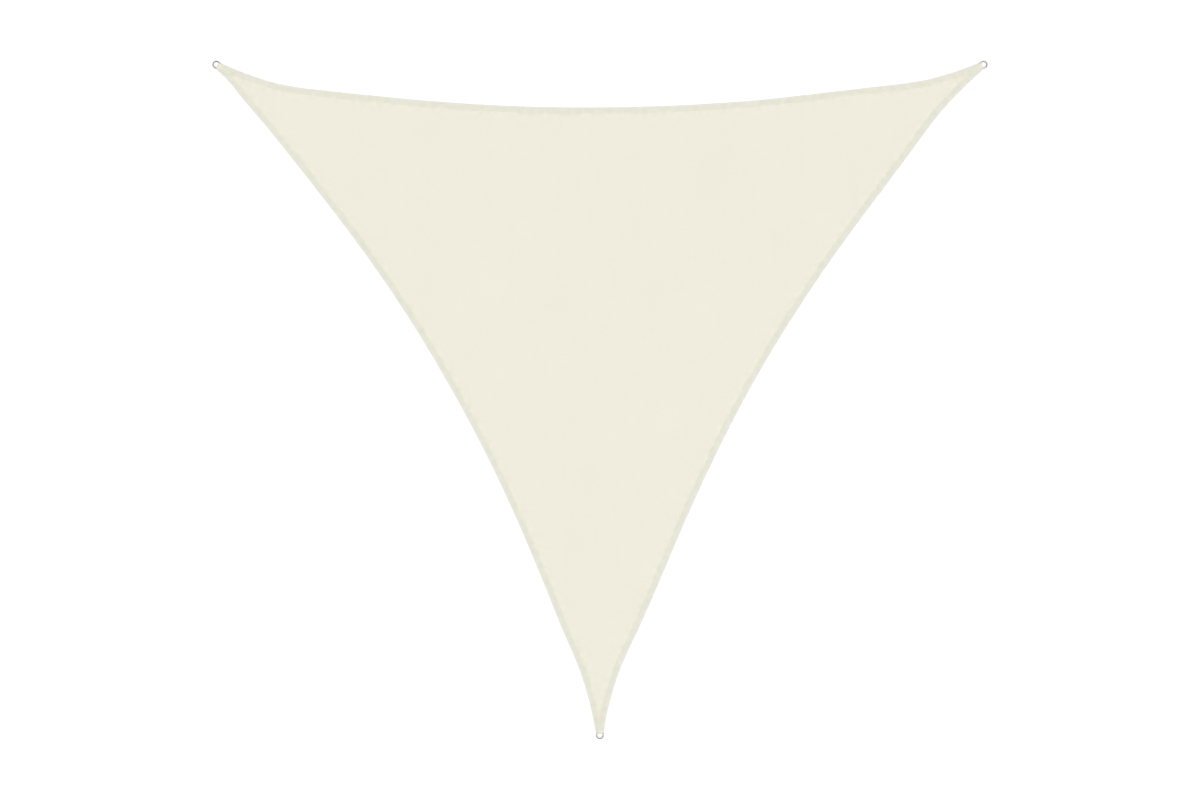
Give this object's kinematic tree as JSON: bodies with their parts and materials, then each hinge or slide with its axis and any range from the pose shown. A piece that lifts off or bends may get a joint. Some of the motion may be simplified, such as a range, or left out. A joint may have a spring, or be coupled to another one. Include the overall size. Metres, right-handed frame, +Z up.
{
  "type": "shade sail",
  "caption": "Triangular shade sail of cream knitted cloth with hollow-cut hemmed edges and a strap-held steel D-ring at each corner, laid out flat.",
  "frame": {"origin": "on the surface that the sail lies on, under the centre of its bounding box", "axes": "+X along the rear edge to the right, -Y towards the front corner, +Z up out of the sail's upper face"},
  "size_m": [3.6098, 3.1597, 0.0086],
  "materials": {
    "shade_cloth": "matt knitted cream shade cloth",
    "webbing": "matt woven cream webbing",
    "ring_steel": "smooth stainless steel wire"
  },
  "bodies": {
    "root": {"sail_cloth": "shade_cloth", "strap_rear_left": "webbing", "strap_front": "webbing", "strap_rear_right": "webbing", "ring_rear_left": "ring_steel", "ring_front": "ring_steel", "ring_rear_right": "ring_steel"}
  },
  "joints": []
}
